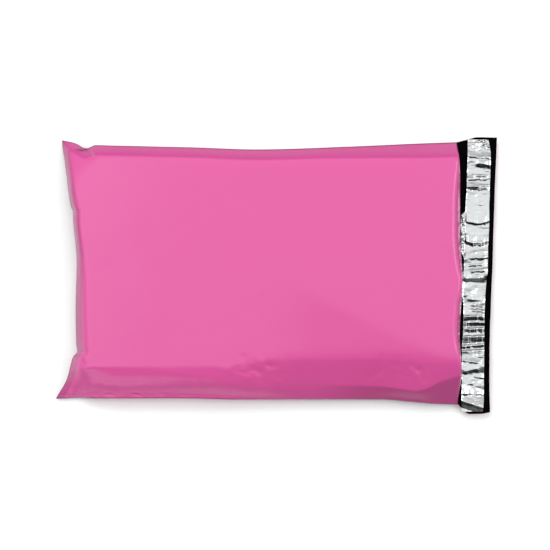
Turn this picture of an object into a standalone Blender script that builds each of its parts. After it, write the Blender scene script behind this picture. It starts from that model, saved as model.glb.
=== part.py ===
"""A poly mailer bag, filled and lying flat, its closed end towards -X and its lip towards +X.

It has three pieces: the bag, one sheet of film folded at the closed end and welded along both sides;
the strip of glue on the inner face of its lip; and the crinkled release liner that covers the glue.

Metres, +Z up. The origin lies on the surface that the bag rests on, under the middle of its box.
The bag is drawn from its flat pattern: x runs from the closed end and y from the middle of the width.
"""

import bisect
import math

import bmesh
import bpy
import numpy as np
from mathutils import Vector

# The flat, empty bag.
BAG_LENGTH = 0.485
BAG_WIDTH = 0.330
LIP_LENGTH = 0.0395
FILM = 0.0006

# How full it is: the height of its crown, as (x, height). Towards the mouth a low ridge crosses it on a
# slant, and the panel falls away on the ridge's lower side: (x, y) of one point of the ridge, how much
# it falls towards the mouth, where the tilt sets in, and how far the ridge rounds.
CROWN = (
    (0.0, 0.0400),
    (0.30 * BAG_LENGTH, 0.0445),
    (0.85 * BAG_LENGTH, 0.0455),
    (BAG_LENGTH, 0.0430),
)
RIDGE_PLACE = (0.344, 0.124)
RIDGE_SLANT = 0.47
RIDGE_CORNER = 0.003
TILT = 0.10
TILT_START = (0.235, 0.330)

# The upper side and the mouth bulge over their edges, within this distance of them.
UPPER_FIN = 0.0005
UPPER_SHOULDER = 0.016
UPPER_FULLNESS = 0.48
MOUTH_ROLL = 0.0098
MOUTH_ROLL_CORNER = 0.0035
MOUTH_FULLNESS = 0.50

# The lower side climbs from the fin of its weld to a ledge in two facets. The fold between them leaves
# the ledge near the closed end and runs down towards the mouth. Each is (x, distance in from the seam),
# and the fold's height is (x, share of the whole height).
LOWER_FIN = ((0.0, 0.0050), (0.180, 0.0050), (0.240, 0.0032), (BAG_LENGTH, 0.0030))
LEDGE = (
    (0.0, 0.0340),
    (0.035, 0.0375),
    (0.130, 0.0385),
    (0.190, 0.0390),
    (0.222, 0.0420),
    (0.256, 0.0500),
    (0.400, 0.0515),
    (BAG_LENGTH, 0.0530),
)
SIDE_FOLD = (
    (0.0, 0.0330),
    (0.035, 0.0365),
    (0.072, 0.0365),
    (0.190, 0.0255),
    (0.253, 0.0195),
    (0.366, 0.0176),
    (0.430, 0.0150),
    (0.460, 0.0280),
    (BAG_LENGTH, 0.0365),
)
SIDE_FOLD_HEIGHT = (
    (0.035, 0.97),
    (0.072, 0.97),
    (0.190, 0.82),
    (0.253, 0.56),
    (0.366, 0.50),
    (0.430, 0.44),
    (0.460, 0.70),
    (BAG_LENGTH, 0.80),
)

# How much the lower facet bulges and how far the side's corners round, at the closed end and towards
# the mouth, and where the one passes into the other.
SIDE_BULGE = (0.40, 0.12)
SIDE_CORNER = (0.012, 0.050)
SIDE_CHANGE = (0.190, 0.275)

# The closed end is a steep side of uneven width: (distance from the bag's lower side, width).
CLOSED_SIDE = (
    (0.016, 0.0160),
    (0.074, 0.0120),
    (0.150, 0.0105),
    (0.70 * BAG_WIDTH, 0.0055),
    (0.75 * BAG_WIDTH, 0.0090),
    (0.91 * BAG_WIDTH, 0.0040),
    (BAG_WIDTH, 0.0030),
)
CLOSED_OVERHANG = 0.0025
CLOSED_CORNER = 0.002

# How far in from each edge the back panel has sunk to the surface below.
BASE_SHOULDER = 0.034
BASE_MOUTH_SHOULDER = 0.055
BASE_FULLNESS = 0.70
BASE_FIN = 0.003

# The corners of the closed end stand out as flat ears. Each is (x, distance in from the flat side).
LOWER_EAR = (-0.002, 0.016)
UPPER_EAR = (0.0055, 0.002)
EAR_LIFT = 0.0025

# Filling the bag draws its edges in. Each point is (distance along the edge, distance in from flat).
LOWER_SEAM_HIP = (0.130, 0.018)
LOWER_SEAM_WAIST = (0.80 * BAG_LENGTH, 0.0162)
LOWER_SEAM_MOUTH = 0.0096
UPPER_SEAM_NOTCH = (0.036, 0.0128)
UPPER_SEAM_BEHIND_NOTCH = (0.048, 0.0086)
UPPER_SEAM_WAIST = (0.49 * BAG_LENGTH, 0.0145)
UPPER_SEAM_MOUTH = 0.0047
CLOSED_END_LOWER_ROOT = (0.042, 0.0127)
CLOSED_END_NECK = (0.066, 0.0185)
CLOSED_END_NOTCH = (0.074, 0.0255)
CLOSED_END_WAIST = (0.54 * BAG_WIDTH, 0.0246)
CLOSED_END_SLOPE = (0.73 * BAG_WIDTH, 0.0198)

# Heights above the surface: of the two welded seams as (x, height), and of the folded end.
LOWER_LIFT = (
    (-0.002, EAR_LIFT),
    (0.020, 0.0060),
    (0.080, 0.0130),
    (0.160, 0.0140),
    (0.300, 0.0120),
    (0.440, 0.0105),
    (BAG_LENGTH, 0.0085),
)
UPPER_LIFT = (
    (0.0055, EAR_LIFT),
    (0.036, 0.0060),
    (0.080, 0.0070),
    (0.400, 0.0070),
    (BAG_LENGTH, 0.0085),
)
SEAM_LIFT = 0.014

# The mouth's edge pulls back at its corners and meets the lip, with one pinch between two lobes.
MOUTH_CORNER_SETBACK = 0.0035
MOUTH_BULGE = 0.0018
MOUTH_LIFT = 0.0085
PINCH_PLACE = -0.011
PINCH_WIDTH = 0.013
PINCH_SHARE = 0.65

# The lip is the back panel's end. It spreads to its flat width and lies in shallow waves. Its far edge
# slants, at first slowly, so that the lip is longer at the upper side.
LIP_UPPER_SKEW = 0.0050
LIP_LOWER_SKEW = -0.0038
LIP_SLANT = 1.4
LIP_LIFT = 0.0080
LIP_SPREAD = 0.0016
WAVE_HEIGHT = 0.0009
WAVE_LENGTHS = (0.061, 0.027)

# The glue and its liner, across the lip from its far edge.
LINER_WIDTH = 0.027
LINER_MARGIN = 0.0068
LINER_SIDE_MARGIN = 0.0015
GLUE_WIDTH = 0.020
GLUE_SIDE_MARGIN = 0.006
GLUE_THICKNESS = 0.0004
LINER_THICKNESS = 0.0003
SEAT_GAP = 0.0003
CRINKLE_HEIGHT = 0.0011
CRINKLE_LENGTH = 0.0118

# Creases in the front panel: (x, y, x, y of its two ends, half width, height, which is negative in a
# valley). They are measured from the closed end and from the lower side of the flat bag.
CREASES = (
    (0.2238, 0.0672, 0.2322, 0.0540, 0.0045, -0.0013),
    (0.2406, 0.0480, 0.2514, 0.0372, 0.0045, -0.0022),
    (0.2526, 0.0588, 0.2670, 0.0444, 0.0045, -0.0014),
    (0.2106, 0.0492, 0.2286, 0.0396, 0.0050, 0.0014),
    (0.2490, 0.0540, 0.2562, 0.0468, 0.0045, 0.0011),
    (0.2478, 0.1440, 0.2470, 0.0720, 0.0060, -0.0005),
    (0.3882, 0.0660, 0.3884, 0.0516, 0.0045, -0.0008),
    (0.4080, 0.0610, 0.4110, 0.0580, 0.0045, -0.0007),
    (0.4242, 0.0552, 0.4374, 0.0432, 0.0045, -0.0013),
    (0.0354, 0.3175, 0.0400, 0.3110, 0.0045, -0.0024),
    (0.0222, 0.0720, 0.0340, 0.0600, 0.0045, -0.0026),
)

# How finely each sheet is divided, and where along the pouch its columns lie closer together, over the
# gathers: (place, half width).
POUCH_COLUMNS = 56
LIP_COLUMNS = 4
BAG_ROWS = 42
GATHERS = ((0.240, 0.030), (0.420, 0.030))
STATION_PROBES = 400
STRIP_ROWS = 74
GLUE_COLUMNS = 1
LINER_COLUMNS = 5

PINK = (0.83, 0.145, 0.41, 1.0)
GLUE_WHITE = (0.78, 0.77, 0.70, 1.0)
SILVER = (0.80, 0.81, 0.82, 1.0)


def clear_scene():
    for old in list(bpy.data.objects):
        bpy.data.objects.remove(old, do_unlink=True)


def mix(low, high, share):
    return low + (high - low) * share


def smooth_curve(points, at):
    """Value at one station of a smooth curve that turns only at its (station, value) points."""
    stations = np.array([point[0] for point in points])
    values = np.array([point[1] for point in points])
    steps = np.diff(values) / np.diff(stations)
    same_way = steps[:-1] * steps[1:] > 0
    even = np.where(same_way, steps[:-1] + steps[1:], 1.0)
    turns = np.where(same_way, 2 * steps[:-1] * steps[1:] / even, 0.0)
    slopes = np.concatenate([steps[:1], turns, steps[-1:]])
    first = int(np.clip(np.searchsorted(stations, at) - 1, 0, len(points) - 2))
    span = stations[first + 1] - stations[first]
    share = float(np.clip((at - stations[first]) / span, 0.0, 1.0))
    rise = share * share * (3 - 2 * share)
    leave = share * (1 - share) ** 2 * span * slopes[first]
    arrive = -share * share * (1 - share) * span * slopes[first + 1]
    return mix(values[first], values[first + 1], rise) + leave + arrive


def bump(distance, half_width):
    """A round bump, 1 at no distance."""
    return math.exp(-((distance / half_width) ** 2))


def shoulder(distance, width, fullness):
    """0 at an edge and 1 from one width in, round like film over soft goods."""
    share = min(max(distance / width, 0.0), 1.0)
    return (1 - (1 - share) ** 2) ** fullness


def soft_minimum(heights, corner):
    """The lowest of some heights, where corner is how far the change between them rounds."""
    lowest = min(heights)
    return lowest - corner * math.log(sum(math.exp((lowest - height) / corner) for height in heights))


def facet(distance, start, end, corner):
    """A straight side that climbs from 0 at start to 1 at end, where corner is how far it rounds."""
    share = max((distance - start) / (end - start), 0.0)
    sharpness = (end - start) / corner
    return 1 - float(np.logaddexp(0.0, (1 - share) * sharpness)) / sharpness


def fade(low, high, at):
    """0 up to low, 1 from high, and smooth between them."""
    share = min(max((at - low) / (high - low), 0.0), 1.0)
    return share * share * (3 - 2 * share)


def lower_seam(share):
    corner = mouth_edge(0.0)
    x = mix(LOWER_EAR[0], corner.x, share)
    points = (LOWER_EAR, LOWER_SEAM_HIP, LOWER_SEAM_WAIST, (corner.x, LOWER_SEAM_MOUTH))
    z = mix(smooth_curve(LOWER_LIFT, x), corner.z, share**8)
    return Vector((x, -BAG_WIDTH / 2 + smooth_curve(points, x), z))


def upper_seam(share):
    corner = mouth_edge(1.0)
    x = mix(UPPER_EAR[0], corner.x, share)
    points = (
        UPPER_EAR,
        UPPER_SEAM_NOTCH,
        UPPER_SEAM_BEHIND_NOTCH,
        UPPER_SEAM_WAIST,
        (corner.x, UPPER_SEAM_MOUTH),
    )
    z = mix(smooth_curve(UPPER_LIFT, x), corner.z, share**8)
    return Vector((x, BAG_WIDTH / 2 - smooth_curve(points, x), z))


def closed_end(share):
    low = LOWER_EAR[1]
    high = BAG_WIDTH - UPPER_EAR[1]
    along = mix(low, high, share)
    points = (
        (low, LOWER_EAR[0]),
        CLOSED_END_LOWER_ROOT,
        CLOSED_END_NECK,
        CLOSED_END_NOTCH,
        CLOSED_END_WAIST,
        CLOSED_END_SLOPE,
        (high, UPPER_EAR[0]),
    )
    z = mix(EAR_LIFT, SEAM_LIFT, math.sin(math.pi * share) ** 0.5)
    return Vector((smooth_curve(points, along), along - BAG_WIDTH / 2, z))


def mouth_edge(share):
    """The front panel's free edge, which lies on the back panel."""
    y = mix(LOWER_SEAM_MOUTH, BAG_WIDTH - UPPER_SEAM_MOUTH, share) - BAG_WIDTH / 2
    middle = math.sin(math.pi * share) ** 0.5
    wobble = MOUTH_BULGE * math.sin(3 * math.pi * share) * middle
    return Vector((BAG_LENGTH - MOUTH_CORNER_SETBACK * (1 - middle) + wobble, y, MOUTH_LIFT))


def lip_end(share):
    """The far edge of the lip."""
    side = BAG_WIDTH / 2 + LIP_SPREAD
    x = BAG_LENGTH + LIP_LENGTH + mix(LIP_LOWER_SKEW, LIP_UPPER_SKEW, share**LIP_SLANT)
    return Vector((x, mix(-side, side, share), LIP_LIFT))


def lip_wave(y):
    """Shallow waves across the lip, in the film and in what is stuck to it."""
    long, short = (math.sin(2 * math.pi * y / length) for length in WAVE_LENGTHS)
    return WAVE_HEIGHT * (0.65 * long + 0.35 * short)


def lip_point(across, share):
    """Upper face of the lip, from the mouth at 0 to its far edge at 1."""
    near, far = mouth_edge(share), lip_end(share)
    spread = 1 - (1 - across) ** 3
    x = mix(near.x + FILM, far.x, across)
    y = mix(near.y, far.y, spread)
    return Vector((x, y, mix(near.z, far.z, across) + lip_wave(y) * spread))


def lip_facet_point(across, share):
    """Upper face of the lip as it is drawn, straight from one row to the next."""
    stations = [closer_at_ends(row, BAG_ROWS) for row in range(BAG_ROWS + 1)]
    row = min(bisect.bisect_right(stations, share), BAG_ROWS)
    low, high = stations[row - 1], stations[row]
    part = (share - low) / (high - low)
    return mix(lip_point(across, low), lip_point(across, high), part)


def pouch_rim_blend(along, share):
    """The skin that spans the pouch's four edges: a Coons patch."""
    lengthwise = mix(closed_end(share), mouth_edge(share), along)
    crosswise = mix(lower_seam(along), upper_seam(along), share)
    low = mix(closed_end(0.0), mouth_edge(0.0), along)
    high = mix(closed_end(1.0), mouth_edge(1.0), along)
    return lengthwise + crosswise - mix(low, high, share)


def lower_side(x, distance):
    """How far the lower side has climbed, from 0 at its fin to 1 at the crown."""
    fin, fold, ledge = (smooth_curve(line, x) for line in (LOWER_FIN, SIDE_FOLD, LEDGE))
    height = smooth_curve(SIDE_FOLD_HEIGHT, x)
    change = fade(*SIDE_CHANGE, x)
    climb = max((distance - fin) / (fold - fin), 0.0)
    share = min(climb, 1.0)
    lower = height * (climb + mix(*SIDE_BULGE, change) * share * (1 - share))
    upper = height + (1 - height) * (distance - fold) / (ledge - fold)
    return max(soft_minimum((lower, upper, 1.0), mix(*SIDE_CORNER, change)), 0.0)


def mouth_roll(y, share):
    """How far in from the mouth its roll begins."""
    lobes = math.sin(math.pi * share) ** 0.5
    pinch = PINCH_SHARE * bump(y - PINCH_PLACE, PINCH_WIDTH)
    return mix(MOUTH_ROLL_CORNER, MOUTH_ROLL * (1 - pinch), lobes)


def crown_height(x, y):
    """Height of the filled bag away from its edges."""
    above = y + BAG_WIDTH / 2 - RIDGE_PLACE[1] + RIDGE_SLANT * (x - RIDGE_PLACE[0])
    fall = RIDGE_CORNER * float(np.logaddexp(0.0, -above / RIDGE_CORNER))
    return smooth_curve(CROWN, x) - TILT * fade(*TILT_START, x) * fall


def crease_height(x, y):
    """What the creases add to the front panel."""
    place = Vector((x, y + BAG_WIDTH / 2))
    height = 0.0
    for x0, y0, x1, y1, half_width, lift in CREASES:
        start, run = Vector((x0, y0)), Vector((x1 - x0, y1 - y0))
        share = (place - start).dot(run) / run.length_squared
        nearest = start + run * min(max(share, 0.0), 1.0)
        height += lift * bump((place - nearest).length, half_width)
    return height


def pouch_points(along, share):
    """The front panel's outer face and the back panel's, one above the other."""
    seam = pouch_rim_blend(along, share)
    length = mouth_edge(share).x - closed_end(share).x
    width = upper_seam(along).y - lower_seam(along).y
    from_closed, from_mouth = along * length, (1 - along) * length
    from_lower, from_upper = share * width, (1 - share) * width
    closed_side = smooth_curve(CLOSED_SIDE, seam.y + BAG_WIDTH / 2)
    full = (
        facet(from_closed, -CLOSED_OVERHANG, closed_side, CLOSED_CORNER)
        * lower_side(seam.x, from_lower)
        * shoulder(from_upper - UPPER_FIN, UPPER_SHOULDER, UPPER_FULLNESS)
        * shoulder(from_mouth, mouth_roll(seam.y, share), MOUTH_FULLNESS)
    )
    settled = (
        shoulder(from_closed - BASE_FIN, BASE_SHOULDER, BASE_FULLNESS)
        * shoulder(from_lower - BASE_FIN, BASE_SHOULDER, BASE_FULLNESS)
        * shoulder(from_upper - BASE_FIN, BASE_SHOULDER, BASE_FULLNESS)
        * shoulder(from_mouth, BASE_MOUTH_SHOULDER, BASE_FULLNESS)
    )
    crown = crown_height(seam.x, seam.y) + crease_height(seam.x, seam.y)
    top = mix(seam.z + FILM, crown, full)
    base = (seam.z - FILM) * (1 - settled)
    return Vector((seam.x, seam.y, top)), Vector((seam.x, seam.y, base))


def lip_points(across, share):
    """The lip's upper and lower faces."""
    upper = lip_point(across, share)
    return upper, upper - Vector((0.0, 0.0, FILM))


def closer_at_ends(step, steps):
    """Share of the way along for one step of many, with closer steps at both ends."""
    share = step / steps
    return mix(share, 0.5 - 0.5 * math.cos(math.pi * share), 0.7)


def pouch_stations():
    """Shares of the way along the pouch for its columns, closer at the ends and over the gathers."""
    along = [closer_at_ends(probe, STATION_PROBES) for probe in range(STATION_PROBES + 1)]
    passed = [0.0]
    for share in along[1:]:
        crowding = sum(bump(share * BAG_LENGTH - place, half_width) for place, half_width in GATHERS)
        passed.append(passed[-1] + 1 + crowding)
    return np.interp(np.linspace(0.0, passed[-1], POUCH_COLUMNS + 1), passed, along)


def bag_column(column, share, stations):
    if column <= POUCH_COLUMNS:
        return pouch_points(float(stations[column]), share)
    return lip_points((column - POUCH_COLUMNS - 1) / LIP_COLUMNS, share)


def new_object(name, mesh, colour, roughness, metallic=0.0):
    """A named piece in the bag's collection, smooth, with its own material."""
    finish = bpy.data.materials.new(name + "_finish")
    finish.use_nodes = True
    surface = finish.node_tree.nodes["Principled BSDF"]
    surface.inputs["Base Color"].default_value = colour
    surface.inputs["Roughness"].default_value = roughness
    surface.inputs["Metallic"].default_value = metallic
    mesh.materials.append(finish)
    mesh.shade_smooth()
    piece = bpy.data.objects.new(name, mesh)
    bpy.data.collections["poly_mailer"].objects.link(piece)
    return piece


def sheet(columns, rows):
    """A flat grid, and the (column, row) of each of its vertices."""
    work = bmesh.new()
    bmesh.ops.create_grid(work, x_segments=columns, y_segments=rows, size=1.0)
    places = {
        vertex: (round((vertex.co.x + 1) / 2 * columns), round((vertex.co.y + 1) / 2 * rows))
        for vertex in work.verts
    }
    return work, places


def finished_mesh(name, work):
    mesh = bpy.data.meshes.new(name)
    work.to_mesh(mesh)
    work.free()
    return mesh


def build_bag():
    """Front panel, back panel and lip as one closed solid, from a sheet that is drawn out into two."""
    work, places = sheet(POUCH_COLUMNS + 1 + LIP_COLUMNS, BAG_ROWS)
    drawn = {place: vertex for vertex, place in places.items()}
    stations = pouch_stations()
    bmesh.ops.extrude_face_region(work, geom=list(work.faces), use_keep_orig=True)
    raised = [vertex for vertex in work.verts if vertex not in places]
    for vertex in raised:
        columns, rows = POUCH_COLUMNS + 1 + LIP_COLUMNS, BAG_ROWS
        place = round((vertex.co.x + 1) / 2 * columns), round((vertex.co.y + 1) / 2 * rows)
        upper, lower = bag_column(place[0], closer_at_ends(place[1], rows), stations)
        vertex.co = upper
        drawn[place].co = lower
    bmesh.ops.recalc_face_normals(work, faces=list(work.faces))
    return new_object("bag", finished_mesh("bag", work), PINK, 0.38)


def strip_place(across, along, width, far_margin, side_margin):
    """Place on the lip of one point of a strip, as shares across and along the lip."""
    share = mix(side_margin, BAG_WIDTH - side_margin, along) / BAG_WIDTH
    lip_width = lip_end(share).x - mouth_edge(share).x
    from_far = far_margin + width * (1 - across)
    return 1 - from_far / lip_width, share


def crinkle(across, along):
    """Sharp cross folds of the liner, uneven in height and spacing."""
    phase = along * BAG_WIDTH / CRINKLE_LENGTH
    uneven = phase + 0.35 * math.sin(1.7 * phase) + 0.6 * across
    fold = 1 - abs(math.sin(math.pi * uneven))
    return CRINKLE_HEIGHT * fold * (0.6 + 0.4 * math.sin(0.9 * phase + 1.0))


def thicken(strip, thickness):
    """Gives a sheet its thickness, upwards."""
    wall = strip.modifiers.new("thickness", "SOLIDIFY")
    wall.thickness = thickness
    wall.offset = 1.0


def build_glue():
    """A flat strip of glue that follows the lip's waves."""
    margin = LINER_MARGIN + (LINER_WIDTH - GLUE_WIDTH) / 2
    work, places = sheet(GLUE_COLUMNS, STRIP_ROWS)
    for vertex, (column, row) in places.items():
        across, along = column / GLUE_COLUMNS, row / STRIP_ROWS
        place = strip_place(across, along, GLUE_WIDTH, margin, GLUE_SIDE_MARGIN)
        vertex.co = lip_facet_point(*place) + Vector((0.0, 0.0, SEAT_GAP))
    strip = new_object("glue_strip", finished_mesh("glue_strip", work), GLUE_WHITE, 0.35)
    thicken(strip, GLUE_THICKNESS)
    return strip


def build_liner():
    """The release liner over the glue, folded across into many small crinkles."""
    lift = SEAT_GAP + GLUE_THICKNESS + SEAT_GAP
    work, places = sheet(LINER_COLUMNS, STRIP_ROWS)
    for vertex, (column, row) in places.items():
        across, along = column / LINER_COLUMNS, row / STRIP_ROWS
        place = strip_place(across, along, LINER_WIDTH, LINER_MARGIN, LINER_SIDE_MARGIN)
        vertex.co = lip_facet_point(*place) + Vector((0.0, 0.0, lift + crinkle(across, along)))
    strip = new_object("release_liner", finished_mesh("release_liner", work), SILVER, 0.18, 1.0)
    thicken(strip, LINER_THICKNESS)
    return strip


def centre_on_surface(pieces):
    """Hangs the pieces on one empty that puts the origin under the middle of their box."""
    graph = bpy.context.evaluated_depsgraph_get()
    corners = np.array([
        corner for piece in pieces for corner in piece.evaluated_get(graph).bound_box
    ])
    low, high = corners.min(axis=0), corners.max(axis=0)
    holder = bpy.data.objects.new("poly_mailer", None)
    bpy.data.collections["poly_mailer"].objects.link(holder)
    holder.location = (-(low[0] + high[0]) / 2, -(low[1] + high[1]) / 2, -low[2])
    for piece in pieces:
        piece.parent = holder


def main():
    clear_scene()
    collection = bpy.data.collections.new("poly_mailer")
    bpy.context.scene.collection.children.link(collection)
    pieces = [build_bag(), build_glue(), build_liner()]
    bpy.context.view_layer.update()
    centre_on_surface(pieces)


main()
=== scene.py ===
"""The looks of a filled poly mailer bag that lies on its back panel, seen from straight above.

The bag, the glue on its lip and the release liner over the glue are modelled again with the fine
creases of real film and foil. Each starts as a flat slab of many small faces, and a form puts every
corner of it in place.

Pattern coordinates are millimetres on the empty, flat bag: x from the closed end towards the lip and
y from the lower side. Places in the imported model's frame are metres.
"""

import math

import bmesh
import bpy
import numpy as np
from mathutils import Matrix, Vector, noise


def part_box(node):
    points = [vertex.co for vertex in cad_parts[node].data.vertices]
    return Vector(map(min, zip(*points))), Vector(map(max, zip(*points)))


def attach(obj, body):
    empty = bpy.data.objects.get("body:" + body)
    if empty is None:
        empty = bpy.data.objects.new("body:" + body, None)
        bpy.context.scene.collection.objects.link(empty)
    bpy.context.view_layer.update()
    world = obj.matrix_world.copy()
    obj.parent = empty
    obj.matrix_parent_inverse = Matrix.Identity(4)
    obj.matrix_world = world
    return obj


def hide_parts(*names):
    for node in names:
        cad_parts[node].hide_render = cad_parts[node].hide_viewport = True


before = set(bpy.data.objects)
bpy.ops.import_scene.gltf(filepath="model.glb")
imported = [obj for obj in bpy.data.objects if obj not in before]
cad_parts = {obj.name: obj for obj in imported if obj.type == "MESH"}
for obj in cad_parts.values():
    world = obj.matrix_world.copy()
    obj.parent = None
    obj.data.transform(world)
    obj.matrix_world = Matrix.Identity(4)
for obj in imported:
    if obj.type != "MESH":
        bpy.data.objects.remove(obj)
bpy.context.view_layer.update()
bag_low, bag_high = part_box("bag")

MM = 0.001

# The flat bag, how thick its film is here, and where its pattern lies in the frame.
BAG_LENGTH = 485.0
BAG_WIDTH = 330.0
FILM = 0.35
LOWER_EAR_X = -2.0
PATTERN_X = bag_low.x - LOWER_EAR_X * MM
PATTERN_Y = (bag_low.y + bag_high.y) / 2 - BAG_WIDTH / 2 * MM

# The outline of the filled bag, as (x, y) in the pattern.
LOWER_SEAM = (
    (-2.0, 16.3), (34.0, 17.4), (148.0, 18.0), (232.0, 16.2), (388.0, 16.2), (427.0, 13.2),
    (455.0, 10.8), (482.4, 9.6),
)
UPPER_SEAM = (
    (5.5, 328.1), (22.0, 324.0), (35.9, 317.5), (46.8, 321.2), (66.6, 320.4), (167.0, 318.0),
    (239.0, 315.6), (355.0, 319.2), (427.0, 322.8), (481.0, 325.3),
)
LIP_LOWER_SIDE = ((482.4, 9.6), (489.6, 2.4), (495.5, -1.6), (510.3, -1.4), (520.8, 0.6))
LIP_UPPER_SIDE = ((481.0, 325.3), (495.5, 328.9), (505.0, 331.4), (529.4, 331.0))

# The same, as (y, x).
CLOSED_END = (
    (16.3, -2.0), (42.2, 12.7), (63.7, 18.5), (67.4, 20.0), (74.0, 25.3), (82.8, 24.0),
    (123.6, 23.4), (182.4, 24.8), (233.0, 20.6), (241.0, 20.4), (248.0, 17.6), (291.6, 11.4),
    (328.1, 5.5),
)
MOUTH_EDGE = (
    (9.6, 482.4), (51.6, 486.0), (90.0, 484.0), (162.0, 487.2), (213.6, 484.8), (279.6, 484.6),
    (325.3, 481.0),
)
LIP_END = (
    (0.6, 520.8), (45.6, 520.1), (99.6, 520.8), (135.6, 522.1), (171.6, 523.6), (243.6, 525.8),
    (315.6, 528.6), (331.0, 529.4),
)

# Heights above the surface: of the two seams as (x, height), and of the other edges.
LOWER_LIFT = (
    (-2.0, 2.5), (20.0, 8.0), (80.0, 19.0), (160.0, 20.0), (300.0, 17.0), (445.0, 15.0), (482.4, 8.5),
)
UPPER_LIFT = (
    (5.5, 2.5), (36.0, 14.0), (80.0, 23.0), (330.0, 23.0), (430.0, 16.0), (481.0, 8.5),
)
EAR_LIFT = 2.5
SEAM_LIFT = 14.0
MOUTH_LIFT = 8.5
LIP_LIFT = 8.0

# How high the panel lies over the goods, as (x, height).
CROWN = ((0.0, 40.0), (0.30 * BAG_LENGTH, 44.5), (0.85 * BAG_LENGTH, 45.5), (BAG_LENGTH, 43.0))


def through(points, at):
    """Values at many stations of a smooth curve that turns only at its (station, value) points."""
    stations, values = np.array(points, dtype=float).T
    steps = np.diff(values) / np.diff(stations)
    same_way = steps[:-1] * steps[1:] > 0
    even = np.where(same_way, steps[:-1] + steps[1:], 1.0)
    turns = np.where(same_way, 2 * steps[:-1] * steps[1:] / even, 0.0)
    slopes = np.concatenate([steps[:1], turns, steps[-1:]])
    first = np.clip(np.searchsorted(stations, at) - 1, 0, len(stations) - 2)
    span = stations[first + 1] - stations[first]
    share = np.clip((at - stations[first]) / span, 0.0, 1.0)
    rise = share * share * (3 - 2 * share)
    leave = share * (1 - share) ** 2 * span * slopes[first]
    arrive = -share * share * (1 - share) * span * slopes[first + 1]
    return mix(values[first], values[first + 1], rise) + leave + arrive


def mix(low, high, share):
    return low + (high - low) * share


def ramp(low, high, at):
    """0 up to low, 1 from high, and smooth between them."""
    share = np.clip((at - low) / (high - low), 0.0, 1.0)
    return share * share * (3 - 2 * share)


def bump(distance, half_width):
    """A round bump, 1 at no distance."""
    return np.exp(-((distance / half_width) ** 2))


def round_wall(distance, width, fullness=0.7):
    """A side that bulges like a pillow's: 0 at its foot and 1 from one width in."""
    share = np.clip(distance / width, 0.0, 1.0)
    return (1 - (1 - share) ** 2) ** fullness


def facet(distance, start, end, corner):
    """A straight side that climbs from 0 at start to 1 at end, where corner is how far it rounds."""
    share = (distance - start) / (end - start)
    sharpness = (end - start) / corner
    return 1 - np.logaddexp(0.0, (1 - np.maximum(share, 0.0)) * sharpness) / sharpness


def past(distance, corner):
    """How far past a line something is: 0 before it, with a corner that rounds over this far."""
    return np.logaddexp(0.0, distance / corner) * corner


# Random heights: how far a seed moves them, how their finer lumps fade and shrink, and the stretch that
# a line of them covers.
SEED_STEP = (17.3, 5.1, 9.7)
LINE_SEED_STEP = 31.7
FADE = 0.9
SHRINK = 2.0
LINE_OCTAVES = 3
LINE_SPAN = (-20.0, 360.0)


def rough(points, scale, seed, octaves):
    """Smooth random heights, about -1 to 1, at (x, y) points. scale is the size of their lumps."""
    shift = Vector([step * seed for step in SEED_STEP])
    return np.array([
        noise.fractal(Vector((x / scale[0], y / scale[1], 0.0)) + shift, FADE, SHRINK, octaves)
        for x, y in points
    ])


def noise_line(at, scale, seed):
    """Smooth random values, about -1 to 1, along a line."""
    stations = np.arange(*LINE_SPAN, scale / 4)
    places = [Vector((station / scale + LINE_SEED_STEP * seed, 0.0, 0.0)) for station in stations]
    values = [noise.fractal(place, FADE, SHRINK, LINE_OCTAVES) for place in places]
    return np.interp(at, stations, values)


def along_edge(line, share):
    """Stations at shares of a line's length, and the line's place at each."""
    stations = mix(line[0][0], line[-1][0], share)
    return stations, through(line, stations)


# The edges of the pouch and the lip. Each gives x, y and height at shares of its length.
def lower_seam(share):
    x, y = along_edge(LOWER_SEAM, share)
    return np.stack([x, y, through(LOWER_LIFT, x)])


def upper_seam(share):
    x, y = along_edge(UPPER_SEAM, share)
    return np.stack([x, y, through(UPPER_LIFT, x)])


def closed_end(share):
    y, x = along_edge(CLOSED_END, share)
    return np.stack([x, y, mix(EAR_LIFT, SEAM_LIFT, np.sin(np.pi * np.clip(share, 0, 1)) ** 0.5)])


def mouth_edge(share):
    y, x = along_edge(MOUTH_EDGE, share)
    return np.stack([x, y, np.full_like(y, MOUTH_LIFT)])


def lip_end(share):
    y, x = along_edge(LIP_END, share)
    return np.stack([x, y, np.full_like(y, LIP_LIFT)])


def lip_lower_side(share):
    return np.stack([*along_edge(LIP_LOWER_SIDE, share), mix(MOUTH_LIFT, LIP_LIFT, share)])


def lip_upper_side(share):
    return np.stack([*along_edge(LIP_UPPER_SIDE, share), mix(MOUTH_LIFT, LIP_LIFT, share)])


def skin(near, far, low, high, along, share):
    """The smooth skin that spans four edges."""
    zero, one = np.zeros_like(along), np.ones_like(along)
    lengthwise = mix(near(share), far(share), along)
    crosswise = mix(low(along), high(along), share)
    corners = mix(mix(near(zero), far(zero), along), mix(near(one), far(one), along), share)
    return lengthwise + crosswise - corners


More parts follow.
